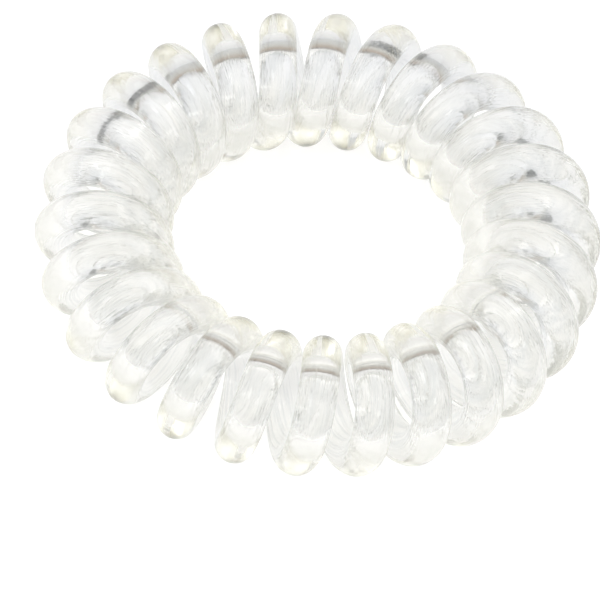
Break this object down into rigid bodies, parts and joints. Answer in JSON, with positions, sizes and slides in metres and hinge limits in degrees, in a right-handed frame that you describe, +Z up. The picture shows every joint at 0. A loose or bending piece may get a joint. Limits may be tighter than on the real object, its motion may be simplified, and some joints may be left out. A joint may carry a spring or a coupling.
{
  "type": "spiral hair tie",
  "caption": "Clear plastic hair tie: a round rod wound into a coil and closed into a ring, for a ponytail or the wrist.",
  "frame": {"origin": "centre of the coil's bounding box on the surface that the tie lies on", "axes": "+Z up, along the axis of the hole; +X and +Y in the plane of the ring"},
  "size_m": [0.0498, 0.05, 0.0122],
  "materials": {
    "clear_tpu": "clear extruded thermoplastic polyurethane, glossy, with faint lines along the rod"
  },
  "bodies": {
    "root": {"coil": "clear_tpu"}
  },
  "joints": []
}
